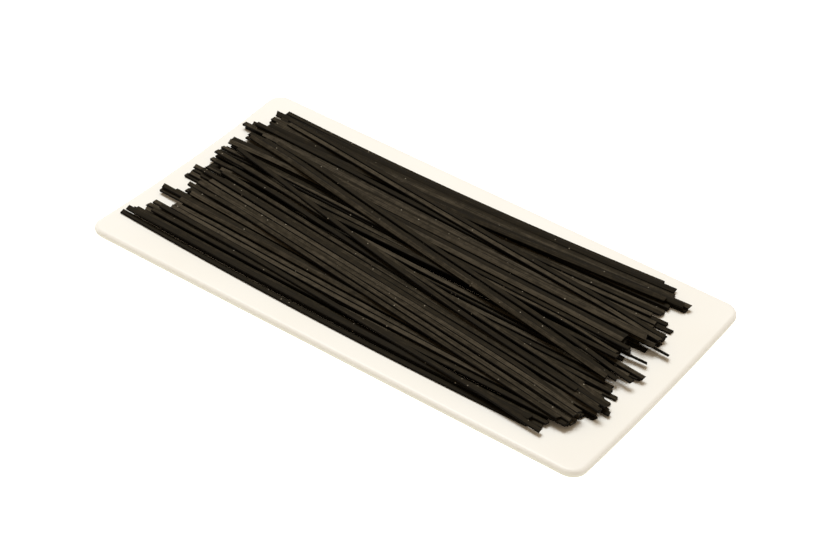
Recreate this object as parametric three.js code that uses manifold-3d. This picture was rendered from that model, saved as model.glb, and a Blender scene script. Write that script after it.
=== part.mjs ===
// A loose heap of dry, flat, dark spaghetti lying on a plain rectangular glazed plate.
// Millimetres, +Z up, +X along the plate. The origin is the middle of the plate's flat underside.

import * as THREE from 'three';
import { mergeVertices } from 'three/addons/utils/BufferGeometryUtils.js';
import Module from 'manifold-3d';

// ---- the plate ----
const PLATE_LENGTH = 300;
const PLATE_WIDTH = 162.5;
const PLATE_TOP = 11; // height of the upper face along its middle line
const PLATE_RISE = 3; // how much higher the upper face is along the two long edges
const RIM_THICKNESS = 5; // the rim is a full round of this thickness
const CORNER_RADIUS = 9;
const FOOT_INSET = 17; // the foot is smaller than the plate by this much all round
const FOOT_CHAMFER = 1;
const UNDERSIDE_INSET = 6; // where the sloping underside meets the rim
const LEAST_RADIUS = 3; // smallest corner radius on the foot
const ARC_STEPS = 5;
const SIDE_STEPS = 8;
const RIM_STEPS = 6;

// ---- one strand of spaghetti ----
const STRAND_LENGTH = 257;
const STRAND_WIDTH = 3.2;
const STRAND_THICKNESS = 1.25;
const LENGTH_SCATTER = 4; // the cut lengths differ by up to this much
const STRAND_KNOTS = 9; // points along a strand where its height is worked out
const STRAND_SEGMENTS = 6; // faces along a strand's side

// ---- the heap ----
const HEAP_SEED = 37; // each sheaf adds its own number to it
const SEED_STEP = 7919; // keeps the random draws of neighbouring seeds apart
const SEED_START = 13;
const WARM_UP = 3; // first draws that are thrown away
const PLACE_SCATTER = 0.3; // how far a strand strays from its place in a sheaf, as a share of the spacing
const FAN_SCATTER = 0.8; // how far its right end strays
const BOW_SCATTER = 1; // and how much the bows differ
const REST_GAP = 0.36; // clearance between the heap and the plate
const DROOP = 0.6; // share of the free height that a strand's ends sink by
const DROOP_LIMIT = 4;
const ROLL_COST = 0.5;
const SHIFT_COST = 0.03;
const ROLLS = [0, 0.12, -0.12, 0.28, -0.28, 0.5, -0.5]; // cross slopes a strand may settle at
const FREE_SHIFTS = [0, 0.8, -0.8, 1.6, -1.6, 2.4, -2.4]; // sideways moves a buried strand may make
const HELD_SHIFTS = [0, 0.6, -0.6]; // and those of a strand near the top
const SHOWN_SHARE = 0.06; // strands that show by less than this share stay inside the core
const FUSE = 0.1; // strands are drawn this much thicker, so that those that touch grow together

// The sheaves, in the order in which they were laid. left and right give the Y of the first and the
// last strand at either end, and bow how far the middle of the sheaf swings sideways. The loose strands
// are laid straight after their sheaf.
const SHEAVES = [
  { name: 'bottom', count: 30, left: [-58, 63.5], right: [-60, 64.5], bow: -2.5, shifts: FREE_SHIFTS },
  { name: 'second', count: 24, left: [57, -54], right: [59, -54], bow: -2, shifts: FREE_SHIFTS },
  { name: 'far', count: 5, left: [61, 45], right: [68, 57], bow: -2.5, shifts: HELD_SHIFTS },
  { name: 'filling', count: 14, left: [-36, 28], right: [-44, 26], bow: -1, shifts: FREE_SHIFTS },
  { name: 'near', count: 4, left: [-48, -59], right: [-52, -63], bow: -2, shifts: HELD_SHIFTS },
  { name: 'flat', count: 7, left: [46, 22], right: [35, 13], bow: -0.5, shifts: HELD_SHIFTS },
  { name: 'lower', count: 6, left: [-22, -43], right: [-34, -53], bow: -1.5, shifts: HELD_SHIFTS },
  { name: 'far_middle', count: 2, left: [61, 54], right: [35, 25], bow: -1.5, shifts: HELD_SHIFTS },
  { name: 'middle', count: 5, left: [12, -8], right: [-25, -41], bow: 0, shifts: HELD_SHIFTS },
  { name: 'near_middle', count: 5, left: [-5, -23], right: [-41, -58], bow: 0, shifts: HELD_SHIFTS },
  { name: 'crossing', count: 3, left: [38, 30], right: [-7, -16], bow: -2.5, shifts: HELD_SHIFTS },
];

// Loose strands that stick out or lie across the others: [left x, left y], [right x, right y].
// A steep one leans on its neighbour with the given cross slope.
const LEANING = [-0.8];
const LOOSE_STRANDS = [
  { after: 'bottom', left: [-144, -60], right: [112, -65], bow: -3, rolls: ROLLS },
  { after: 'bottom', left: [-139, -57], right: [118, -61.5], bow: -2.5, rolls: ROLLS },
  { after: 'second', left: [-133, 68], right: [107, 72], bow: -3.5, rolls: ROLLS },
  { after: 'second', left: [-118, 33], right: [139, 23], bow: 0.5, rolls: LEANING },
  { after: 'second', left: [-121, 0], right: [133, 11], bow: 0, rolls: LEANING },
  { after: 'second', left: [-119, 11], right: [138, 0], bow: 0, rolls: ROLLS },
  { after: 'second', left: [-119, -16], right: [138, -33], bow: 0, rolls: ROLLS },
  { after: 'far', left: [-137, 63.5], right: [116, 69.5], bow: -3, rolls: ROLLS },
  { after: 'filling', left: [-136, 26], right: [116, 22], bow: 1, rolls: ROLLS },
  { after: 'near', left: [-130, -46], right: [120, -67], bow: 0, rolls: ROLLS },
  { after: 'near', left: [-137, 15], right: [119, 6], bow: 0, rolls: ROLLS },
  { after: 'near', left: [-130, 19], right: [123, 10], bow: 1, rolls: ROLLS },
  { after: 'near', left: [-136, 23], right: [118, 16], bow: 0, rolls: ROLLS },
  { after: 'lower', left: [-137, 45], right: [116, 33], bow: 1, rolls: ROLLS },
  { after: 'middle', left: [-128, 17], right: [120, -35], bow: -4.5, rolls: ROLLS },
];

// How far the heap reaches at either side, which is uneven. Each row gives the y from which on it
// holds, and the x where the heap ends there.
const LEFT_REACH = [
  [-70, -142], [-56, -138], [-47, -144], [-43, -126], [-34, -144], [-25, -131], [-14, -141],
  [-2, -137], [6, -139], [13, -140], [21, -139], [34, -144], [49, -134], [57, -131], [62, -138],
  [68, -133],
];
const RIGHT_REACH = [
  [-90, 111], [-60, 119], [-56, 129], [-42, 136], [-28, 134], [-18, 129], [-9, 136], [2, 122],
  [14, 117], [20, 128], [24, 132], [42, 134], [48, 120], [60, 129], [64, 118], [70, 106],
];

// The height of the pile is kept on a grid of columns along X and cells across Y.
const CELL_X = 4;
const CELL_Y = 0.5;
const GRID_X = -152;
const GRID_Y = -80;
const COLUMNS = 76;
const ROWS = 320;
const CONTACT_SHARE = 0.43; // half width that counts as touching, as a share of the strand's width

// The core under the strands that show.
const CORE_LEFT = -122;
const CORE_RIGHT = 106;
const CORE_NEAR = -59;
const CORE_FAR = 66;
const CORE_COLUMNS = 12;
const CORE_ROWS = 22;
const CORE_DROP = 0.6; // how far the core stays under the tops of the strands
const CORE_EDGE = 0.5; // its height above the plate at the edge
const MESH_TOLERANCE = 0.02; // slivers and steps finer than this are smoothed away

const GLAZE = new THREE.MeshStandardMaterial({ color: 0xf8f4ea, roughness: 0.25, metalness: 0 });
const DARK_PASTA = new THREE.MeshStandardMaterial({ color: 0x342e26, roughness: 0.6, metalness: 0 });

const wasm = await Module();
wasm.setup();

// Height of the plate's upper face above its middle line.
function troughRise(y) {
  const share = (2 * y) / PLATE_WIDTH;
  return PLATE_RISE * share * share;
}

// ---- plate: rings of a rounded rectangle, joined from the foot round the rim to the upper face ----

// The points of one ring, right side from near to far and then back along the left side.
function plateRing(inset, height, bent) {
  const halfLength = PLATE_LENGTH / 2 - inset;
  const halfWidth = PLATE_WIDTH / 2 - inset;
  const radius = Math.max(CORNER_RADIUS - inset, LEAST_RADIUS);
  const side = [];
  for (let k = 0; k <= ARC_STEPS; k += 1) {
    const angle = ((k / ARC_STEPS) * Math.PI) / 2;
    const x = halfLength - radius * (1 - Math.sin(angle));
    side.push([x, -halfWidth + radius * (1 - Math.cos(angle))]);
  }
  const straight = halfWidth - radius;
  for (let k = 1; k < SIDE_STEPS; k += 1) {
    side.push([halfLength, -straight + (2 * straight * k) / SIDE_STEPS]);
  }
  for (let k = ARC_STEPS; k >= 0; k -= 1) {
    side.push([side[k][0], -side[k][1]]);
  }
  const mirrored = side.map(([x, y]) => [-x, y]).reverse();
  return [...side, ...mirrored].map(([x, y]) => [x, y, height + (bent ? troughRise(y) : 0)]);
}

function plateRings() {
  const half = RIM_THICKNESS / 2;
  const rings = [
    plateRing(FOOT_INSET, 0, false),
    plateRing(FOOT_INSET - FOOT_CHAMFER, FOOT_CHAMFER, false),
    plateRing(UNDERSIDE_INSET, PLATE_TOP - RIM_THICKNESS, true),
  ];
  for (let k = 0; k <= RIM_STEPS; k += 1) {
    const angle = (k / RIM_STEPS - 0.5) * Math.PI;
    const inset = half * (1 - Math.cos(angle));
    rings.push(plateRing(inset, PLATE_TOP - half + half * Math.sin(angle), true));
  }
  return rings;
}

function plateGeometry() {
  const rings = plateRings();
  const count = rings[0].length;
  const faces = [];
  for (let r = 0; r + 1 < rings.length; r += 1) {
    for (let i = 0; i < count; i += 1) {
      const next = (i + 1) % count;
      const [a, b] = [r * count + i, r * count + next];
      faces.push(a, b, b + count, a, b + count, a + count);
    }
  }
  // The two flat ends are ladders of strips from the right side to the left side.
  const top = (rings.length - 1) * count;
  for (let i = 0; i + 1 < count / 2; i += 1) {
    const [right, rightNext] = [i, i + 1];
    const [left, leftNext] = [count - 1 - i, count - 2 - i];
    faces.push(top + right, top + rightNext, top + leftNext, top + right, top + leftNext, top + left);
    faces.push(right, leftNext, rightNext, right, left, leftNext);
  }
  const geometry = new THREE.BufferGeometry();
  geometry.setAttribute('position', new THREE.Float32BufferAttribute(rings.flat(2), 3));
  geometry.setIndex(faces);
  return geometry;
}

// ---- laying the strands ----

// A repeatable random number from 0 to 1.
function makeRandom(seed) {
  let state = seed * SEED_STEP + SEED_START;
  const random = () => {
    state = (state * 1664525 + 1013904223) % 4294967296;
    return state / 4294967296;
  };
  for (let k = 0; k < WARM_UP; k += 1) random();
  return random;
}

function emptyPile() {
  const column = [];
  for (let j = 0; j < ROWS; j += 1) {
    column.push(troughRise(GRID_Y + (j + 0.5) * CELL_Y));
  }
  const height = [];
  const owner = [];
  for (let i = 0; i < COLUMNS; i += 1) {
    height.push([...column]);
    owner.push(column.map(() => -1));
  }
  return { height, owner };
}

// The grid columns that a strand crosses, with its share of length and its middle line there.
function crossings(strand) {
  const { xl, yl, xr, yr, bow } = strand;
  const first = Math.max(Math.trunc((xl - GRID_X) / CELL_X), 0);
  const last = Math.min(Math.trunc((xr - GRID_X) / CELL_X), COLUMNS - 1);
  const found = [];
  for (let i = first; i <= last; i += 1) {
    const x = GRID_X + (i + 0.5) * CELL_X;
    const s = Math.min(Math.max((x - xl) / (xr - xl), 0), 1);
    found.push({ i, x, s, y: yl + (yr - yl) * s + bow * 4 * s * (1 - s) });
  }
  return found;
}

// The convex line that spans what a strand with this cross slope would touch from above.
function contactLine(pile, strand, roll) {
  const half = (CONTACT_SHARE * STRAND_WIDTH) / Math.sqrt(1 + roll * roll);
  const hull = [];
  for (const { i, x, y } of crossings(strand)) {
    const low = Math.max(Math.floor((y - half - GRID_Y) / CELL_Y), 0);
    const high = Math.min(Math.floor((y + half - GRID_Y) / CELL_Y), ROWS - 1);
    let touch = -Infinity;
    for (let j = low; j <= high; j += 1) {
      touch = Math.max(touch, pile.height[i][j] - roll * (GRID_Y + (j + 0.5) * CELL_Y - y));
    }
    while (hull.length > 1) {
      const [p, q] = hull.slice(-2);
      if ((q[1] - p[1]) * (x - p[0]) > (touch - p[1]) * (q[0] - p[0])) break;
      hull.pop();
    }
    hull.push([x, touch]);
  }
  return hull;
}

function along(line, x) {
  let k = 1;
  while (k < line.length - 1 && x > line[k][0]) k += 1;
  const [p, q] = [line[k - 1], line[k]];
  return p[1] + ((q[1] - p[1]) * (x - p[0])) / (q[0] - p[0]);
}

// Where a strand comes to rest: a stiff rod on the two contacts either side of its middle, whose
// ends droop part of the way to what is under them.
function restHeights(pile, strand, roll) {
  const hull = contactLine(pile, strand, roll);
  const middle = (strand.xl + strand.xr) / 2;
  let k = 1;
  while (k < hull.length - 1 && hull[k][0] < middle) k += 1;
  const [p, q] = [hull[k - 1], hull[k]];
  const slope = (q[1] - p[1]) / (q[0] - p[0]);
  const lift = (STRAND_THICKNESS / 2) * Math.sqrt(1 + roll * roll);
  const heights = [];
  let total = 0;
  for (let n = 0; n < STRAND_KNOTS; n += 1) {
    const x = strand.xl + ((strand.xr - strand.xl) * n) / (STRAND_KNOTS - 1);
    const rod = p[1] + slope * (x - p[0]);
    const sink = Math.min(DROOP * (rod - along(hull, x)), DROOP_LIMIT);
    heights.push(rod - sink + lift);
    total += rod - sink + lift;
  }
  return { heights, mean: total / STRAND_KNOTS };
}

function heightAt(strand, s) {
  const place = s * (STRAND_KNOTS - 1);
  const k = Math.min(Math.trunc(place), STRAND_KNOTS - 2);
  return strand.heights[k] + (strand.heights[k + 1] - strand.heights[k]) * (place - k);
}

function addToPile(pile, strand, index) {
  const stretch = Math.sqrt(1 + strand.roll * strand.roll);
  const half = STRAND_WIDTH / 2 / stretch;
  for (const { i, s, y } of crossings(strand)) {
    const top = heightAt(strand, s) + (STRAND_THICKNESS / 2) * stretch;
    const low = Math.max(Math.ceil((y - half - GRID_Y) / CELL_Y - 0.5), 0);
    const high = Math.min(Math.floor((y + half - GRID_Y) / CELL_Y - 0.5), ROWS - 1);
    for (let j = low; j <= high; j += 1) {
      const level = top + strand.roll * (GRID_Y + (j + 0.5) * CELL_Y - y);
      if (level > pile.height[i][j]) {
        pile.height[i][j] = level;
        pile.owner[i][j] = index;
      }
    }
  }
}

// Tries each sideways shift and cross slope, and lays the strand where it lies lowest.
function layStrand(pile, strands, place, shifts, rolls) {
  let best = null;
  for (const shift of shifts) {
    for (const roll of rolls) {
      const strand = { ...place, yl: place.yl + shift, yr: place.yr + shift, roll };
      const { heights, mean } = restHeights(pile, strand, roll);
      const cost = mean + ROLL_COST * Math.abs(roll) + SHIFT_COST * Math.abs(shift);
      if (best === null || cost < best.cost - 1e-9) best = { ...strand, heights, cost };
    }
  }
  addToPile(pile, best, strands.length);
  strands.push(best);
}

// The value of a table of [from y, value] steps at this y.
function stepAt(steps, y) {
  let value = steps[0][1];
  for (const [from, next] of steps) {
    if (y >= from) value = next;
  }
  return value;
}

// Strands slide along until they lie between the two uneven sides, mostly up against one of them.
function laySheaf(pile, strands, sheaf) {
  const { count, left, right, bow, shifts } = sheaf;
  const random = makeRandom(HEAP_SEED + SHEAVES.indexOf(sheaf));
  for (let k = 0; k < count; k += 1) {
    const u = (k + 0.5) / count + ((random() - 0.5) * PLACE_SCATTER) / count;
    const yl = left[0] + (left[1] - left[0]) * u;
    const fan = right[0] + (right[1] - right[0]) * u + (random() - 0.5) * FAN_SCATTER;
    const length = STRAND_LENGTH + LENGTH_SCATTER * (random() - 0.5);
    const slope = (fan - yl) / STRAND_LENGTH;
    const run = length / Math.sqrt(1 + slope * slope);
    const [start, end] = [stepAt(LEFT_REACH, yl), stepAt(RIGHT_REACH, fan)];
    const slack = end - start - run;
    const slide = Math.sin((Math.PI / 2) * random()) ** 2;
    const xl = slack > 0 ? start + slack * slide : start;
    const xr = slack > 0 ? xl + run : end;
    const yr = yl + slope * (xr - xl);
    const place = { xl, yl, xr, yr, bow: bow + (random() - 0.5) * BOW_SCATTER };
    layStrand(pile, strands, place, shifts, ROLLS);
  }
  for (const loose of LOOSE_STRANDS) {
    if (loose.after === sheaf.name) {
      const [[xl, yl], [xr, yr]] = [loose.left, loose.right];
      layStrand(pile, strands, { xl, yl, xr, yr, bow: loose.bow }, [0], loose.rolls);
    }
  }
}

// ---- solids of the heap ----

function toSolid(geometry) {
  geometry.deleteAttribute('normal');
  geometry.deleteAttribute('uv');
  const merged = mergeVertices(geometry, 1e-6);
  const vertProperties = new Float32Array(merged.attributes.position.array);
  const triVerts = new Uint32Array(merged.index.array);
  return new wasm.Manifold(new wasm.Mesh({ numProp: 3, vertProperties, triVerts }));
}

function toGeometry(solid) {
  const { vertProperties, triVerts } = solid.getMesh();
  const geometry = new THREE.BufferGeometry();
  geometry.setAttribute('position', new THREE.Float32BufferAttribute(vertProperties, 3));
  geometry.setIndex(new THREE.Uint32BufferAttribute(triVerts, 1));
  return geometry;
}

// A long box whose cross sections are moved along the strand and tilted by its cross slope.
function strandSolid(strand) {
  const box = new THREE.BoxGeometry(1, STRAND_WIDTH, STRAND_THICKNESS + FUSE, STRAND_SEGMENTS, 1, 1);
  const spots = box.attributes.position;
  const cosine = 1 / Math.sqrt(1 + strand.roll * strand.roll);
  const sine = strand.roll * cosine;
  for (let n = 0; n < spots.count; n += 1) {
    const s = spots.getX(n) + 0.5;
    const [across, up] = [spots.getY(n), spots.getZ(n)];
    const x = strand.xl + (strand.xr - strand.xl) * s;
    const y = strand.yl + (strand.yr - strand.yl) * s + strand.bow * 4 * s * (1 - s);
    const z = PLATE_TOP + REST_GAP + heightAt(strand, s);
    spots.setXYZ(n, x, y + across * cosine - up * sine, z + across * sine + up * cosine);
  }
  return toSolid(box);
}

// The lowest top of the pile round a point.
function lowestTop(pile, x, y) {
  const i = Math.round((x - GRID_X) / CELL_X - 0.5);
  const j = Math.round((y - GRID_Y) / CELL_Y - 0.5);
  let lowest = Infinity;
  for (let a = i - 1; a <= i + 1; a += 1) {
    for (let b = j - 2; b <= j + 2; b += 1) {
      lowest = Math.min(lowest, pile.height[a][b]);
    }
  }
  return lowest;
}

// A low block whose upper face follows the pile and whose underside follows the plate.
function coreSolid(pile) {
  const box = new THREE.BoxGeometry(1, 1, 1, CORE_COLUMNS, CORE_ROWS, 1);
  const spots = box.attributes.position;
  for (let n = 0; n < spots.count; n += 1) {
    const s = spots.getX(n) + 0.5;
    const x = CORE_LEFT + (CORE_RIGHT - CORE_LEFT) * s;
    const swing = SHEAVES[0].bow * 4 * s * (1 - s);
    const y = CORE_NEAR + (CORE_FAR - CORE_NEAR) * (spots.getY(n) + 0.5) + swing;
    const floor = troughRise(y);
    const under = Math.max(lowestTop(pile, x, y) - CORE_DROP, floor + CORE_EDGE);
    spots.setXYZ(n, x, y, PLATE_TOP + REST_GAP + (spots.getZ(n) > 0 ? under : floor));
  }
  return toSolid(box);
}

// The strands that show at least by a set share of their own footprint.
function shownStrands(pile, strands) {
  const owned = strands.map(() => 0);
  for (const column of pile.owner) {
    for (const index of column) {
      if (index >= 0) owned[index] += 1;
    }
  }
  return strands.filter((strand, index) => {
    const footprint = ((strand.xr - strand.xl) / CELL_X) * (STRAND_WIDTH / CELL_Y);
    return owned[index] / footprint > SHOWN_SHARE;
  });
}

function heapGeometry() {
  const pile = emptyPile();
  const strands = [];
  for (const sheaf of SHEAVES) laySheaf(pile, strands, sheaf);
  let heap = coreSolid(pile);
  for (const strand of shownStrands(pile, strands)) heap = heap.add(strandSolid(strand));
  // The largest connected shell is the heap: sealed hollows fill up and loose scraps fall away.
  const shells = heap.asOriginal().simplify(MESH_TOLERANCE).decompose();
  shells.sort((a, b) => b.volume() - a.volume());
  return toGeometry(shells[0]);
}

function named(name, geometry, material) {
  const mesh = new THREE.Mesh(geometry, material);
  mesh.name = name;
  return mesh;
}

const group = new THREE.Group();
group.add(named('plate', plateGeometry(), GLAZE));
group.add(named('spaghetti', heapGeometry(), DARK_PASTA));

export default group;
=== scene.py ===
# %% [markdown]
# # A heap of flat black spaghetti on a cream plate
# About 120 dry strands lie loosely on a plain glazed plate. This lesson builds the plate as one
# smooth solid, lays the strands one by one with a small rule of its own, and turns their paths into
# real strands with Geometry Nodes. Sizes are written in millimetres and turned into metres where a
# mesh or a path is made. The part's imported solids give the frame.

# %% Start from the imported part
import math

import bpy
from mathutils import Matrix, Vector


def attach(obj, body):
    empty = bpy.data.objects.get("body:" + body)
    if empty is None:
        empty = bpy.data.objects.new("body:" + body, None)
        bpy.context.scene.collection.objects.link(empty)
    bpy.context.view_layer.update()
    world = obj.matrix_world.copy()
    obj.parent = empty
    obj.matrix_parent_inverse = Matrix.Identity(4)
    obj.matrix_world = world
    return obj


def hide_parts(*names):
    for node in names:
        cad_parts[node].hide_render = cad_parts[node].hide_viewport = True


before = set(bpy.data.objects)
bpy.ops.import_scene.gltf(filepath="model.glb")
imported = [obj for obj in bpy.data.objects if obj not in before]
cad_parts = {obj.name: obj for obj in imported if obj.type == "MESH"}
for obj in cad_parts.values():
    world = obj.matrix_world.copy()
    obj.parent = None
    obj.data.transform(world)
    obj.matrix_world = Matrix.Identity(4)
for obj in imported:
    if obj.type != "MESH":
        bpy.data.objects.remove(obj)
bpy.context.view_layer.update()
MM = 0.001

# %% [markdown]
# ## The camera
# A small object looks natural through a long lens from a little over a metre. The camera is given
# by its place and by the directions right, up and back, which are the columns of its matrix.

# %% Camera
CAMERA_PLACE = (0.50904, -0.83188, 0.77536)
CAMERA_RIGHT = Vector((0.81955, 0.56812, 0.07464)).normalized()
CAMERA_UP_HINT = Vector((-0.40172, 0.47679, 0.78185))
LENS = 103.8
SENSOR = 36.0
CLIP_NEAR = 0.05
CLIP_FAR = 20.0

camera_data = bpy.data.cameras.new("camera")
camera_data.lens = LENS
camera_data.sensor_width = SENSOR
camera_data.clip_start = CLIP_NEAR
camera_data.clip_end = CLIP_FAR
camera = bpy.data.objects.new("camera", camera_data)
back = CAMERA_RIGHT.cross(CAMERA_UP_HINT).normalized()
up = back.cross(CAMERA_RIGHT)
turn = Matrix((CAMERA_RIGHT, up, back)).transposed().to_4x4()
camera.matrix_world = Matrix.Translation(CAMERA_PLACE) @ turn
bpy.context.collection.objects.link(camera)
bpy.context.scene.camera = camera
print("camera looks along", [round(-v, 3) for v in back])

# %% [markdown]
# ## Helpers for node trees
# A material and a Geometry Nodes tree are both made of nodes and links. One helper adds a node and
# fills in its sockets, so that each tree below reads as a short list.


# %% Node helper
def add_node(tree, kind, inputs=None, **settings):
    """Adds a node with its own settings, and fills its sockets with values or links."""
    node = tree.nodes.new(kind)
    for name, value in settings.items():
        setattr(node, name, value)
    for key, value in (inputs or {}).items():
        socket = node.inputs[key]
        if isinstance(value, bpy.types.NodeSocket):
            tree.links.new(value, socket)
        else:
            socket.default_value = value
    return node


def add_math(tree, operation, *values):
    """The result of a Math node."""
    inputs = dict(enumerate(values))
    return add_node(tree, "ShaderNodeMath", inputs, operation=operation).outputs["Value"]


def add_range(tree, value, **ends):
    """The result of a Map Range node, whose ends are named in lower case, as in from_min."""
    inputs = {"Value": value}
    inputs.update({name.replace("_", " ").title(): end for name, end in ends.items()})
    return add_node(tree, "ShaderNodeMapRange", inputs).outputs["Result"]


def mix_colors(tree, factor, base, layer):
    """A colour with another one laid over it, by a factor."""
    mix = add_node(tree, "ShaderNodeMix", {"Factor": factor}, data_type="RGBA")
    tree.links.new(base, mix.inputs["A"])
    mix.inputs["B"].default_value = (*layer, 1.0)
    return mix.outputs["Result"]


def color_ramp(tree, factor, stops):
    """A colour ramp from a list of (position, colour)."""
    ramp = add_node(tree, "ShaderNodeValToRGB", {"Fac": factor})
    elements = ramp.color_ramp.elements
    while len(elements) < len(stops):
        elements.new(0.5)
    for element, (position, color) in zip(elements, stops):
        element.position = position
        element.color = (*color, 1.0)
    return ramp.outputs["Color"]


def new_material(name):
    material = bpy.data.materials.new(name)
    material.use_nodes = True
    tree = material.node_tree
    return material, tree, tree.nodes["Principled BSDF"]


print("helpers ready")

# %% [markdown]
# ## The glaze
# The plate has a thick, soft cream glaze. It is almost one colour, a little warmer where it pools,
# and an olive brown is painted on the rim's side as shade, strongest where the surface faces
# outward and down. The slope of the surface tells the rim from the flat face. The glaze is not
# quite even, which softens the reflections, and a thin clear coat over a slightly rough base gives
# it depth.

# %% Glaze material
GLAZE_CREAM = (0.918, 0.903, 0.853)
GLAZE_WARM = (0.903, 0.882, 0.820)
# an olive brown, painted on as shade on the rim's outward and downward faces
GLAZE_RIM_SHADE = (0.54, 0.52, 0.39)
POOL_SCALE = 14.0
RIPPLE_SCALE = 60.0
BLACK, WHITE = (0.0, 0.0, 0.0), (1.0, 1.0, 1.0)
RIM_SHADE_STEPS = [(0.08, BLACK), (0.25, WHITE), (0.87, BLACK)]  # how much painted shade, by the way the surface faces, from down to up

glaze, tree, surface = new_material("cream_glaze")
place = add_node(tree, "ShaderNodeTexCoord").outputs["Object"]
pooling = add_node(
    tree, "ShaderNodeTexNoise", {"Vector": place, "Scale": POOL_SCALE, "Detail": 3.0})
cream = color_ramp(tree, pooling.outputs["Fac"], [(0.35, GLAZE_WARM), (0.65, GLAZE_CREAM)])
facing = add_node(tree, "ShaderNodeNewGeometry").outputs["Normal"]
slope = add_node(tree, "ShaderNodeSeparateXYZ", {"Vector": facing})
tilt = add_range(tree, slope.outputs["Z"], from_min=-1.0, from_max=1.0)
rim_shade = color_ramp(tree, tilt, RIM_SHADE_STEPS)
# the painted rim shade is laid over the cream by the slope of the surface
tree.links.new(mix_colors(tree, rim_shade, cream, GLAZE_RIM_SHADE), surface.inputs["Base Color"])
ripple = add_node(
    tree, "ShaderNodeTexNoise", {"Vector": place, "Scale": RIPPLE_SCALE, "Detail": 2.0})
bump = add_node(
    tree, "ShaderNodeBump",
    {"Height": ripple.outputs["Fac"], "Strength": 0.06, "Distance": 0.0004})
tree.links.new(bump.outputs["Normal"], surface.inputs["Normal"])
surface.inputs["Roughness"].default_value = 0.48
surface.inputs["Coat Weight"].default_value = 0.10
surface.inputs["Coat Roughness"].default_value = 0.38
print("material", glaze.name)

# %% [markdown]
# ## The plate
# The plate is a shallow trough: flat along its length, a little higher along the two long sides,
# with a full round rim. A ring of points round the edge is copied inwards and downwards along the
# plate's profile, from the foot round the rim to the upper face, and joined to the next ring.

# %% Plate sizes
PLATE_LENGTH = 300.0
PLATE_WIDTH = 162.5
PLATE_TOP = 11.0
PLATE_RISE = 3.0
RIM_THICKNESS = 5.0
CORNER_RADIUS = 9.0
FOOT_INSET = 17.0
FOOT_CHAMFER = 1.0
UNDERSIDE_INSET = 6.0
LEAST_RADIUS = 3.0
ARC_STEPS = 14
SIDE_STEPS = 40
RIM_STEPS = 16
SHARP_ANGLE = 30.0


def trough_rise(y):
    """Height of the upper face above its middle line, in millimetres."""
    share = 2.0 * y / PLATE_WIDTH
    return PLATE_RISE * share * share


def plate_ring(inset, height, bent):
    """One ring of points: up the right side, then back down the left side."""
    half_length = PLATE_LENGTH / 2 - inset
    half_width = PLATE_WIDTH / 2 - inset
    radius = max(CORNER_RADIUS - inset, LEAST_RADIUS)
    corner = []
    for k in range(ARC_STEPS + 1):
        angle = math.pi / 2 * k / ARC_STEPS
        x = half_length - radius * (1 - math.sin(angle))
        corner.append((x, -half_width + radius * (1 - math.cos(angle))))
    straight = half_width - radius
    side = [(half_length, -straight + 2 * straight * k / SIDE_STEPS) for k in range(1, SIDE_STEPS)]
    right = corner + side + [(x, -y) for x, y in reversed(corner)]
    ring = right + [(-x, y) for x, y in reversed(right)]
    return [(x, y, height + (trough_rise(y) if bent else 0.0)) for x, y in ring]


def plate_rings():
    half = RIM_THICKNESS / 2
    rings = [
        plate_ring(FOOT_INSET, 0.0, False),
        plate_ring(FOOT_INSET - FOOT_CHAMFER, FOOT_CHAMFER, False),
        plate_ring(UNDERSIDE_INSET, PLATE_TOP - RIM_THICKNESS, True),
    ]
    for k in range(RIM_STEPS + 1):
        angle = (k / RIM_STEPS - 0.5) * math.pi
        height = PLATE_TOP - half + half * math.sin(angle)
        rings.append(plate_ring(half * (1 - math.cos(angle)), height, True))
    return rings


# %% Plate mesh
def ring_faces(rings):
    """Quads between neighbouring rings, and ladders of quads over the first and the last ring."""
    count = len(rings[0])
    faces = []
    for r in range(len(rings) - 1):
        for i in range(count):
            a, b = r * count + i, r * count + (i + 1) % count
            faces.append((a, b, b + count, a + count))
    top = (len(rings) - 1) * count
    for i in range(count // 2 - 1):
        mirror, mirror_next = count - 1 - i, count - 2 - i
        faces.append((top + i, top + i + 1, top + mirror_next, top + mirror))
        faces.append((i, mirror, mirror_next, i + 1))
    return faces


def mesh_object(name, points_mm, faces, material):
    mesh = bpy.data.meshes.new(name)
    mesh.from_pydata([Vector(p) * MM for p in points_mm], [], faces)
    mesh.validate()
    mesh.materials.append(material)
    piece = bpy.data.objects.new(name, mesh)
    bpy.context.collection.objects.link(piece)
    return piece


rings = plate_rings()
plate = mesh_object("plate_glazed", [p for ring in rings for p in ring], ring_faces(rings), glaze)
plate.data.shade_smooth()
plate.data.set_sharp_from_angle(angle=math.radians(SHARP_ANGLE))
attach(plate, "root")
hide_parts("plate")
print("plate", len(plate.data.polygons), "faces")

# %% [markdown]
# ## Laying the strands
# A heap looks right when each strand lies on the ones below it. So the strands are laid one by one
# on a grid of heights. A strand is a stiff flat rod: it rests on the two highest contacts either
# side of its middle, and its ends droop part of the way down. Of several small sideways moves and
# cross slopes it takes the one that lies lowest, as real strands roll and slide into place.

# %% Strand and heap sizes, in millimetres
STRAND_LENGTH = 257.0
STRAND_WIDTH = 3.2
STRAND_THICKNESS = 1.25
LENGTH_SCATTER = 4.0
STRAND_KNOTS = 9
HEAP_SEED = 37
SEED_STEP = 7919
SEED_START = 13
WARM_UP = 3
MULTIPLIER = 1664525
INCREMENT = 1013904223
MODULUS = 4294967296
PLACE_SCATTER = 0.3
FAN_SCATTER = 0.8
BOW_SCATTER = 1.0
DROOP = 0.6
DROOP_LIMIT = 4.0
ROLL_COST = 0.5
SHIFT_COST = 0.03
ROLLS = (0.0, 0.12, -0.12, 0.28, -0.28, 0.5, -0.5)
FREE_SHIFTS = (0.0, 0.8, -0.8, 1.6, -1.6, 2.4, -2.4)
HELD_SHIFTS = (0.0, 0.6, -0.6)
LEANING = (-0.8,)

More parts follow.
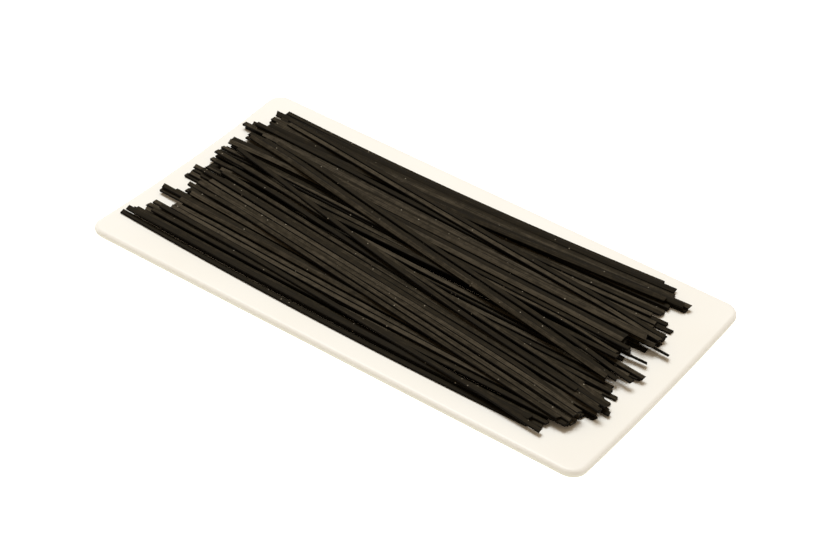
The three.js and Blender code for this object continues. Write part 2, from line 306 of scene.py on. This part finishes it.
# Each sheaf: name, count, left y of its first and last strand, right y of the same, sideways bow,
# and the sideways moves allowed.
SHEAVES = (
    ("bottom", 30, (-58, 63.5), (-60, 64.5), -2.5, FREE_SHIFTS),
    ("second", 24, (57, -54), (59, -54), -2, FREE_SHIFTS),
    ("far", 5, (61, 45), (68, 57), -2.5, HELD_SHIFTS),
    ("filling", 14, (-36, 28), (-44, 26), -1, FREE_SHIFTS),
    ("near", 4, (-48, -59), (-52, -63), -2, HELD_SHIFTS),
    ("flat", 7, (46, 22), (35, 13), -0.5, HELD_SHIFTS),
    ("lower", 6, (-22, -43), (-34, -53), -1.5, HELD_SHIFTS),
    ("far_middle", 2, (61, 54), (35, 25), -1.5, HELD_SHIFTS),
    ("middle", 5, (12, -8), (-25, -41), 0, HELD_SHIFTS),
    ("near_middle", 5, (-5, -23), (-41, -58), 0, HELD_SHIFTS),
    ("crossing", 3, (38, 30), (-7, -16), -2.5, HELD_SHIFTS),
)

# Loose strands, each laid straight after its sheaf: left x, y, right x, y, bow, cross slopes.
LOOSE_STRANDS = (
    ("bottom", -144, -60, 112, -65, -3, ROLLS),
    ("bottom", -139, -57, 118, -61.5, -2.5, ROLLS),
    ("second", -133, 68, 107, 72, -3.5, ROLLS),
    ("second", -118, 33, 139, 23, 0.5, LEANING),
    ("second", -121, 0, 133, 11, 0, LEANING),
    ("second", -119, 11, 138, 0, 0, ROLLS),
    ("second", -119, -16, 138, -33, 0, ROLLS),
    ("far", -137, 63.5, 116, 69.5, -3, ROLLS),
    ("filling", -136, 26, 116, 22, 1, ROLLS),
    ("near", -130, -46, 120, -67, 0, ROLLS),
    ("near", -137, 15, 119, 6, 0, ROLLS),
    ("near", -130, 19, 123, 10, 1, ROLLS),
    ("near", -136, 23, 118, 16, 0, ROLLS),
    ("lower", -137, 45, 116, 33, 1, ROLLS),
    ("middle", -128, 17, 120, -35, -4.5, ROLLS),
)

# How far the heap reaches at either side, which is uneven: from this y on, it ends at this x.
LEFT_REACH = (
    (-70, -142), (-56, -138), (-47, -144), (-43, -126), (-34, -144), (-25, -131), (-14, -141),
    (-2, -137), (6, -139), (13, -140), (21, -139), (34, -144), (49, -134), (57, -131), (62, -138),
    (68, -133),
)
RIGHT_REACH = (
    (-90, 111), (-60, 119), (-56, 129), (-42, 136), (-28, 134), (-18, 129), (-9, 136), (2, 122),
    (14, 117), (20, 128), (24, 132), (42, 134), (48, 120), (60, 129), (64, 118), (70, 106),
)

CELL_X = 4.0
CELL_Y = 0.5
GRID_X = -152.0
GRID_Y = -80.0
COLUMNS = 76
ROWS = 320
CONTACT_SHARE = 0.43  # half width that counts as touching, as a share of the strand's width
TIE = 1e-9  # costs nearer than this count as equal
strand_count = sum(sheaf[1] for sheaf in SHEAVES) + len(LOOSE_STRANDS)
print(strand_count, "strands, most of them in", len(SHEAVES), "sheaves")


# %% The grid of heights
def make_random(seed):
    """A repeatable random number from 0 to 1."""
    state = [seed * SEED_STEP + SEED_START]

    def draw():
        state[0] = (state[0] * MULTIPLIER + INCREMENT) % MODULUS
        return state[0] / MODULUS

    for _ in range(WARM_UP):
        draw()
    return draw


def cell_y(j):
    return GRID_Y + (j + 0.5) * CELL_Y


def crossings(strand):
    """The columns that a strand crosses, with its share of length and middle line there."""
    first = max(int((strand["xl"] - GRID_X) / CELL_X), 0)
    last = min(int((strand["xr"] - GRID_X) / CELL_X), COLUMNS - 1)
    for i in range(first, last + 1):
        x = GRID_X + (i + 0.5) * CELL_X
        s = min(max((x - strand["xl"]) / (strand["xr"] - strand["xl"]), 0.0), 1.0)
        y = strand["yl"] + (strand["yr"] - strand["yl"]) * s + strand["bow"] * 4 * s * (1 - s)
        yield i, x, s, y


def along(line, x):
    k = 1
    while k < len(line) - 1 and x > line[k][0]:
        k += 1
    (ax, az), (bx, bz) = line[k - 1], line[k]
    return az + (bz - az) * (x - ax) / (bx - ax)


# %% Where a strand comes to rest
def contact_line(pile, strand, roll):
    """The convex line over everything that a strand with this cross slope would touch."""
    half = CONTACT_SHARE * STRAND_WIDTH / math.sqrt(1 + roll * roll)
    hull = []
    for i, x, _, y in crossings(strand):
        low = max(math.floor((y - half - GRID_Y) / CELL_Y), 0)
        high = min(math.floor((y + half - GRID_Y) / CELL_Y), ROWS - 1)
        touch = max(pile[i][j] - roll * (cell_y(j) - y) for j in range(low, high + 1))
        while len(hull) > 1:
            (ax, az), (bx, bz) = hull[-2:]
            if (bz - az) * (x - ax) > (touch - az) * (bx - ax):
                break
            hull.pop()
        hull.append((x, touch))
    return hull


def rest_heights(pile, strand, roll):
    hull = contact_line(pile, strand, roll)
    middle = (strand["xl"] + strand["xr"]) / 2
    k = 1
    while k < len(hull) - 1 and hull[k][0] < middle:
        k += 1
    (ax, az), (bx, bz) = hull[k - 1], hull[k]
    slope = (bz - az) / (bx - ax)
    lift = STRAND_THICKNESS / 2 * math.sqrt(1 + roll * roll)
    heights = []
    for n in range(STRAND_KNOTS):
        x = strand["xl"] + (strand["xr"] - strand["xl"]) * n / (STRAND_KNOTS - 1)
        rod = az + slope * (x - ax)
        sink = min(DROOP * (rod - along(hull, x)), DROOP_LIMIT)
        heights.append(rod - sink + lift)
    return heights


def height_at(heights, s):
    place = s * (STRAND_KNOTS - 1)
    k = min(int(place), STRAND_KNOTS - 2)
    return heights[k] + (heights[k + 1] - heights[k]) * (place - k)


def add_to_pile(pile, strand):
    stretch = math.sqrt(1 + strand["roll"] ** 2)
    half = STRAND_WIDTH / 2 / stretch
    for i, _, s, y in crossings(strand):
        top = height_at(strand["heights"], s) + STRAND_THICKNESS / 2 * stretch
        low = max(math.ceil((y - half - GRID_Y) / CELL_Y - 0.5), 0)
        high = min(math.floor((y + half - GRID_Y) / CELL_Y - 0.5), ROWS - 1)
        for j in range(low, high + 1):
            pile[i][j] = max(pile[i][j], top + strand["roll"] * (cell_y(j) - y))


# %% Laying one strand, and then the whole heap
def lay_strand(pile, place, shifts, rolls):
    """Tries each sideways move and cross slope, and lays the strand where it lies lowest."""
    best = None
    for shift in shifts:
        for roll in rolls:
            strand = dict(place, yl=place["yl"] + shift, yr=place["yr"] + shift, roll=roll)
            strand["heights"] = rest_heights(pile, strand, roll)
            mean = sum(strand["heights"]) / STRAND_KNOTS
            cost = mean + ROLL_COST * abs(roll) + SHIFT_COST * abs(shift)
            if best is None or cost < best[0] - TIE:
                best = (cost, strand)
    add_to_pile(pile, best[1])
    return best[1]


def step_at(steps, y):
    """The value of a table of (from y, value) steps at this y."""
    return [value for start, value in steps if y >= start or start == steps[0][0]][-1]


def sheaf_places(sheaf):
    """The place of each strand of a sheaf: it slides along to lie between the two uneven sides."""
    _, count, left, right, bow, _ = sheaf
    draw = make_random(HEAP_SEED + SHEAVES.index(sheaf))
    for k in range(count):
        u = (k + 0.5) / count + (draw() - 0.5) * PLACE_SCATTER / count
        yl = left[0] + (left[1] - left[0]) * u
        fan = right[0] + (right[1] - right[0]) * u + (draw() - 0.5) * FAN_SCATTER
        length = STRAND_LENGTH + LENGTH_SCATTER * (draw() - 0.5)
        slope = (fan - yl) / STRAND_LENGTH
        run = length / math.sqrt(1 + slope * slope)
        start, end = step_at(LEFT_REACH, yl), step_at(RIGHT_REACH, fan)
        slack = end - start - run
        slide = math.sin(math.pi / 2 * draw()) ** 2
        xl = start + slack * slide if slack > 0 else start
        xr = xl + run if slack > 0 else end
        yr = yl + slope * (xr - xl)
        yield dict(xl=xl, yl=yl, xr=xr, yr=yr, bow=bow + (draw() - 0.5) * BOW_SCATTER)


def lay_heap():
    column = [trough_rise(cell_y(j)) for j in range(ROWS)]
    pile = [list(column) for _ in range(COLUMNS)]
    strands = []
    for sheaf in SHEAVES:
        for place in sheaf_places(sheaf):
            strands.append(lay_strand(pile, place, sheaf[-1], ROLLS))
        for after, xl, yl, xr, yr, bow, rolls in LOOSE_STRANDS:
            if after == sheaf[0]:
                place = dict(xl=xl, yl=yl, xr=xr, yr=yr, bow=bow)
                strands.append(lay_strand(pile, place, (0.0,), rolls))
    return strands, pile


strands, pile = lay_heap()
crest = max(max(column) for column in pile)
print(len(strands), "strands laid, crest", round(crest, 2), "mm over the plate")

# %% [markdown]
# ## From paths to strands
# Each laid strand becomes one spline: its points run along its middle line, its tilt is the cross
# slope, and its radius shrinks over the last millimetre and a half, because a snapped end is never
# square. The Geometry Nodes tree below then sweeps the flat section along all of them at once.

# %% Paths of the strands
BODY_STATIONS = 42
SHADE_SEED = 23
# Millimetres from the end, and the share of the full section there.
END_STATIONS = ((0.0, 0.50), (0.25, 0.77), (0.7, 0.92), (1.6, 1.0))


def smooth_height(heights, s):
    """The height between the knots, on one smooth curve through them."""
    place = s * (STRAND_KNOTS - 1)
    k = min(int(place), STRAND_KNOTS - 2)
    t = place - k
    before, a, b, after = (heights[min(max(k + n, 0), STRAND_KNOTS - 1)] for n in (-1, 0, 1, 2))
    slope_a, slope_b = (b - before) / 2, (after - a) / 2
    blend = t * t * (3 - 2 * t)
    return a + (b - a) * blend + slope_a * t * (1 - t) ** 2 - slope_b * t * t * (1 - t)


def stations(length):
    """Shares of the length at which a strand gets a section, and each section's size."""
    ends = [(distance / length, size) for distance, size in END_STATIONS]
    first, last = ends[-1][0], 1 - ends[-1][0]
    body = [(first + (last - first) * k / BODY_STATIONS, 1.0) for k in range(1, BODY_STATIONS)]
    return ends + body + [(1 - s, size) for s, size in reversed(ends)]


paths = bpy.data.curves.new("strand_paths", "CURVE")
paths.dimensions = "3D"
paths.twist_mode = "Z_UP"
for strand in strands:
    places = stations(strand["xr"] - strand["xl"])
    spline = paths.splines.new("POLY")
    spline.points.add(len(places) - 1)
    for point, (s, size) in zip(spline.points, places):
        x = strand["xl"] + (strand["xr"] - strand["xl"]) * s
        y = strand["yl"] + (strand["yr"] - strand["yl"]) * s + strand["bow"] * 4 * s * (1 - s)
        z = PLATE_TOP + smooth_height(strand["heights"], s)
        point.co = (x * MM, y * MM, z * MM, 1.0)
        point.radius = size
        point.tilt = math.atan(strand["roll"])
print(len(paths.splines), "paths of", len(paths.splines[0].points), "points")

# %% [markdown]
# ## The dry pasta
# Dry pasta is matt and dark, with fine streaks that the die left along each strand, a slightly
# different shade from strand to strand, and the odd pale grain of flour. The streaks follow the
# strand, so they read its own length and width, which the tree stores as an attribute called grain.

# %% Pasta colours and scales
PASTA_DEEP = (0.0095, 0.0066, 0.0022)
PASTA_DARK = (0.0205, 0.0150, 0.0068)
PASTA_GREY = (0.067, 0.0535, 0.0345)
# near black, painted on the rounded edges as the shade of the crevices between strands
PASTA_EDGE_SHADE = (0.004, 0.0028, 0.0012)
FLOUR = (0.34, 0.30, 0.23)
STREAK_SCALE = (60.0, 3200.0, 3200.0)  # along the strand, and across it
CLOUD_SCALE = 260.0
CLOUD_SHARE = 0.6
SHADE_SHARE = 0.45
GRAIN_SCALE = 420.0
PATCH_SCALE = 55.0
PATCH_SHARE = 0.5
RARE = 1.17  # only grains above this sum of chance and patch show
PIT_SCALE = 1600.0

pasta, tree, surface = new_material("dry_black_pasta")
grain = add_node(tree, "ShaderNodeAttribute", attribute_name="grain").outputs["Vector"]
shade = add_node(tree, "ShaderNodeAttribute", attribute_name="shade").outputs["Fac"]
edge = add_node(tree, "ShaderNodeAttribute", attribute_name="edge").outputs["Fac"]
place = add_node(tree, "ShaderNodeTexCoord").outputs["Object"]
print("material", pasta.name)

# %% Streaks, clouds and shades
drawn = add_node(tree, "ShaderNodeMapping", {"Vector": grain, "Scale": STREAK_SCALE})
streaks = add_node(
    tree, "ShaderNodeTexNoise",
    {"Vector": drawn.outputs["Vector"], "Scale": 1.0, "Detail": 3.0}).outputs["Fac"]
clouds = add_node(
    tree, "ShaderNodeTexNoise",
    {"Vector": place, "Scale": CLOUD_SCALE, "Detail": 4.0, "Roughness": 0.6}).outputs["Fac"]
mixed = add_math(tree, "MULTIPLY_ADD", clouds, CLOUD_SHARE, streaks)
toned = add_math(tree, "MULTIPLY_ADD", shade, SHADE_SHARE, mixed)
level = add_range(tree, toned, from_min=0.77, from_max=1.32)
body = color_ramp(tree, level, [(0.0, PASTA_DEEP), (0.45, PASTA_DARK), (1.0, PASTA_GREY)])
print("body colour ready")

# %% Flour, and painted shade along the edges
cells = add_node(
    tree, "ShaderNodeTexVoronoi", {"Vector": place, "Scale": GRAIN_SCALE, "Randomness": 1.0})
speck = add_range(tree, cells.outputs["Distance"], from_min=0.19, from_max=0.06)
rare = add_node(tree, "ShaderNodeSeparateColor", {"Color": cells.outputs["Color"]})
patches = add_node(
    tree, "ShaderNodeTexNoise", {"Vector": place, "Scale": PATCH_SCALE, "Detail": 2.0})
often = add_math(tree, "MULTIPLY_ADD", patches.outputs["Fac"], PATCH_SHARE, rare.outputs["Red"])
floury = add_math(tree, "MULTIPLY", speck, add_math(tree, "GREATER_THAN", often, RARE))
# the rounded edges are darkened with painted shade
edge_shade_mask = add_range(tree, edge, from_max=0.42)
shaded_at_edges = mix_colors(tree, edge_shade_mask, body, PASTA_EDGE_SHADE)
tree.links.new(mix_colors(tree, floury, shaded_at_edges, FLOUR), surface.inputs["Base Color"])
print("flour and edges ready")

# %% Pasta surface
pits = add_node(tree, "ShaderNodeTexNoise", {"Vector": place, "Scale": PIT_SCALE, "Detail": 3.0})
relief = add_math(tree, "ADD", streaks, pits.outputs["Fac"])
softer = add_range(tree, edge, to_min=0.35, to_max=0.05)
bump = add_node(
    tree, "ShaderNodeBump", {"Height": relief, "Strength": softer, "Distance": 0.00012})
tree.links.new(bump.outputs["Normal"], surface.inputs["Normal"])
rough = add_range(tree, clouds, to_min=0.66, to_max=0.85)
tree.links.new(rough, surface.inputs["Roughness"])
surface.inputs["Specular IOR Level"].default_value = 0.12
print("surface ready")

# %% [markdown]
# ## The strand maker
# Geometry Nodes sweep one flat section with rounded edges along every path. Before the sweep, the
# tree notes how far along its strand each point is and gives each strand a random shade. After it,
# a little noise makes the surface and the snapped ends uneven.

# %% Strand maker tree
maker = bpy.data.node_groups.new("strand_maker", "GeometryNodeTree")
maker.interface.new_socket("Paths", in_out="INPUT", socket_type="NodeSocketGeometry")
for label, socket_kind in (
    ("Width", "NodeSocketFloat"),
    ("Thickness", "NodeSocketFloat"),
    ("Edge radius", "NodeSocketFloat"),
    ("Unevenness", "NodeSocketFloat"),
    ("Broken ends", "NodeSocketFloat"),
    ("Seed", "NodeSocketInt"),
    ("Pasta", "NodeSocketMaterial"),
):
    maker.interface.new_socket(label, in_out="INPUT", socket_type=socket_kind)
maker.interface.new_socket("Strands", in_out="OUTPUT", socket_type="NodeSocketGeometry")

given = maker.nodes.new("NodeGroupInput").outputs
result = maker.nodes.new("NodeGroupOutput").inputs
print("strand maker has", len(given) - 1, "inputs")


# %% What each point knows about its own strand
def capture(tree, geometry, domain, kind, values):
    """Notes values on a curve's points or splines, under their names."""
    node = add_node(
        tree, "GeometryNodeCaptureAttribute", {"Geometry": geometry}, domain=domain)
    for name, value in values.items():
        node.capture_items.new(kind, name)
        tree.links.new(value, node.inputs[name])
    return node.outputs


def store(tree, geometry, kind, name, value):
    """Stores a value on a mesh's points as a named attribute, and returns the mesh."""
    inputs = {"Geometry": geometry, "Name": name, "Value": value}
    node = add_node(
        tree, "GeometryNodeStoreNamedAttribute", inputs, data_type=kind, domain="POINT")
    return node.outputs["Geometry"]


travelled = add_node(maker, "GeometryNodeSplineParameter").outputs
number = add_node(maker, "GeometryNodeInputIndex").outputs["Index"]
chance = add_node(
    maker, "FunctionNodeRandomValue", {"ID": number, "Seed": given["Seed"]}, data_type="FLOAT")
per_strand = capture(
    maker, given["Paths"], "CURVE", "FLOAT", {"Shade": chance.outputs[1]})
per_point = capture(
    maker, per_strand["Geometry"], "POINT", "FLOAT",
    {"Length": travelled["Length"], "Share": travelled["Factor"]})
print("points know their strand")

# %% The flat section with rounded edges, and the sweep
box = add_node(
    maker, "GeometryNodeCurvePrimitiveQuadrilateral",
    {"Width": given["Width"], "Height": given["Thickness"]})
section = add_node(
    maker, "GeometryNodeFilletCurve",
    {"Curve": box.outputs["Curve"], "Count": 3, "Radius": given["Edge radius"]}, mode="POLY")
local = add_node(maker, "GeometryNodeInputPosition").outputs["Position"]
outline = capture(maker, section.outputs["Curve"], "POINT", "VECTOR", {"Section": local})
swept = add_node(
    maker, "GeometryNodeCurveToMesh",
    {"Curve": per_point["Geometry"], "Profile Curve": outline["Geometry"], "Fill Caps": True})
print("sweep ready")

# %% Attributes for the material
GRAIN_SHIFT = 7.0  # moves the grain on from strand to strand

where = add_node(maker, "ShaderNodeSeparateXYZ", {"Vector": outline["Section"]}).outputs
offset = add_math(maker, "MULTIPLY_ADD", per_strand["Shade"], GRAIN_SHIFT, where["Y"])
grain_vector = add_node(
    maker, "ShaderNodeCombineXYZ",
    {"X": per_point["Length"], "Y": where["X"], "Z": offset}).outputs["Vector"]
# The edge share marks the rounded edges, where the material paints shade and softens the bump.
across = add_math(maker, "ABSOLUTE", where["X"])
half_width = add_math(maker, "MULTIPLY", given["Width"], 0.5)
flat_part = add_math(maker, "SUBTRACT", half_width, given["Edge radius"])
edge_share = add_range(maker, across, from_min=flat_part, from_max=half_width)
noted = store(maker, swept.outputs["Mesh"], "FLOAT_VECTOR", "grain", grain_vector)
noted = store(maker, noted, "FLOAT", "shade", per_strand["Shade"])
noted = store(maker, noted, "FLOAT", "edge", edge_share)
print("grain, shade and edge stored")

# %% Uneven surface and broken ends
WAVE_SCALE = 170.0
CHIP_SCALE = 300.0
CHIPPED_FROM = 0.4940  # distance from the middle, as a share of the length, where chipping starts
CHIPPED_FULLY = 0.4985


def centred_noise(tree, vector, scale):
    """Noise about zero."""
    noise = add_node(
        tree, "ShaderNodeTexNoise", {"Vector": vector, "Scale": scale, "Detail": 2.0})
    return add_math(tree, "SUBTRACT", noise.outputs["Fac"], 0.5)


waves = centred_noise(maker, grain_vector, WAVE_SCALE)
height = add_math(maker, "MULTIPLY", waves, given["Unevenness"])
facing = add_node(maker, "GeometryNodeInputNormal").outputs["Normal"]
ripple = add_node(
    maker, "ShaderNodeVectorMath", {0: facing, "Scale": height}, operation="SCALE")

# The end rings move along the strand by a noise that varies across the section.
chips = centred_noise(maker, grain_vector, CHIP_SCALE)
depth = add_math(maker, "MULTIPLY", chips, given["Broken ends"])
distance = add_math(maker, "ABSOLUTE", add_math(maker, "SUBTRACT", per_point["Share"], 0.5))
near_end = add_range(maker, distance, from_min=CHIPPED_FROM, from_max=CHIPPED_FULLY)
shove = add_math(maker, "MULTIPLY", depth, near_end)
chipped = add_node(maker, "ShaderNodeCombineXYZ", {"X": shove})
move = add_node(
    maker, "ShaderNodeVectorMath",
    {0: ripple.outputs["Vector"], 1: chipped.outputs["Vector"]}, operation="ADD")
uneven = add_node(
    maker, "GeometryNodeSetPosition", {"Geometry": noted, "Offset": move.outputs["Vector"]})
smooth = add_node(
    maker, "GeometryNodeSetShadeSmooth",
    {"Geometry": uneven.outputs["Geometry"], "Shade Smooth": True})
real = add_node(
    maker, "GeometryNodeRealizeInstances", {"Geometry": smooth.outputs["Geometry"]})
finished = add_node(
    maker, "GeometryNodeSetMaterial",
    {"Geometry": real.outputs["Geometry"], "Material": given["Pasta"]})
maker.links.new(finished.outputs["Geometry"], result["Strands"])
print(len(maker.nodes), "nodes in the strand maker")

# %% [markdown]
# ## Making the heap
# The paths become an object, the tree is added to it as a modifier with the real sizes, and the
# evaluated result is kept as a plain mesh. That mesh is the heap that shows.


# %% Heap of strands
EDGE_RADIUS = 0.46
UNEVENNESS = 0.10
BROKEN_ENDS = 3.8  # the noise moves an end by up to half of this either way


def modifier_inputs(modifier, values):
    """Sets a Geometry Nodes modifier's inputs, each by its socket's identifier."""
    for item in modifier.node_group.interface.items_tree:
        if item.item_type == "SOCKET" and item.in_out == "INPUT" and item.name in values:
            modifier[item.identifier] = values[item.name]


source = bpy.data.objects.new("strand_paths", paths)
bpy.context.collection.objects.link(source)
modifier = source.modifiers.new("strand_maker", "NODES")
modifier.node_group = maker
modifier_inputs(modifier, {
    "Width": STRAND_WIDTH * MM,
    "Thickness": STRAND_THICKNESS * MM,
    "Edge radius": EDGE_RADIUS * MM,
    "Unevenness": UNEVENNESS * MM,
    "Broken ends": BROKEN_ENDS * MM,
    "Seed": SHADE_SEED,
    "Pasta": pasta,
})
depsgraph = bpy.context.evaluated_depsgraph_get()
evaluated = source.evaluated_get(depsgraph)
heap_mesh = bpy.data.meshes.new_from_object(evaluated, depsgraph=depsgraph)
source.modifiers.clear()
bpy.data.objects.remove(source)
heap = bpy.data.objects.new("spaghetti_strands", heap_mesh)
bpy.context.collection.objects.link(heap)
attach(heap, "root")
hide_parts("spaghetti")
triangles = sum(len(p.vertices) - 2 for p in heap_mesh.polygons)
print("heap", len(heap_mesh.vertices), "points,", triangles, "triangles")

# %% [markdown]
# ## The floor and the light
# A plain pale floor and a large soft light above and behind the heap give the clear look of a
# product picture, with soft shadows. A weak warm light from all round keeps the strands' sides
# readable.

# %% Floor
FLOOR_PALE = (0.9, 0.9, 0.9)
FLOOR_ROUGHNESS = 0.9
FLOOR_GLOW = (0.96, 0.98, 1.0)
FLOOR_GLOW_STRENGTH = 0.70
FLOOR_HALF = 3000.0
FLOOR_LEVEL = -0.2  # a little under the foot, so that the two faces don't coincide

floor_material, tree, surface = new_material("pale_floor")
surface.inputs["Base Color"].default_value = (*FLOOR_PALE, 1.0)
surface.inputs["Roughness"].default_value = FLOOR_ROUGHNESS
surface.inputs["Emission Color"].default_value = (*FLOOR_GLOW, 1.0)
surface.inputs["Emission Strength"].default_value = FLOOR_GLOW_STRENGTH
sides = ((-1, -1), (1, -1), (1, 1), (-1, 1))
corners = [(x * FLOOR_HALF, y * FLOOR_HALF, FLOOR_LEVEL) for x, y in sides]
floor = mesh_object("floor", corners, [(0, 1, 2, 3)], floor_material)
print("floor", floor.dimensions[:2])


# %% Lights
def soft_light(name, place, target, size, power, color):
    """A square area light at a place, aimed at a target."""
    data = bpy.data.lights.new(name, "AREA")
    data.shape = "SQUARE"
    data.size = size
    data.energy = power
    data.color = color
    light = bpy.data.objects.new(name, data)
    light.location = place
    light.rotation_euler = (Vector(target) - Vector(place)).to_track_quat("-Z", "Y").to_euler()
    bpy.context.collection.objects.link(light)
    return light


HEAP_CENTRE = (0.0, 0.0, 0.015)
KEY_PLACE = (-0.96, 0.72, 3.40)
KEY_SIZE = 1.9
KEY_POWER = 112.0
KEY_COLOR = (0.900, 0.955, 1.0)
SURROUND_COLOR = (1.0, 0.80, 0.58)
SURROUND_STRENGTH = 0.42

soft_light("key_light", KEY_PLACE, HEAP_CENTRE, KEY_SIZE, KEY_POWER, KEY_COLOR)
world = bpy.data.worlds.new("studio")
world.use_nodes = True
surround = world.node_tree.nodes["Background"].inputs
surround["Color"].default_value = (*SURROUND_COLOR, 1.0)
surround["Strength"].default_value = SURROUND_STRENGTH
bpy.context.scene.world = world
bpy.context.scene.view_settings.view_transform = "Standard"

# %% The end
bpy.context.view_layer.update()
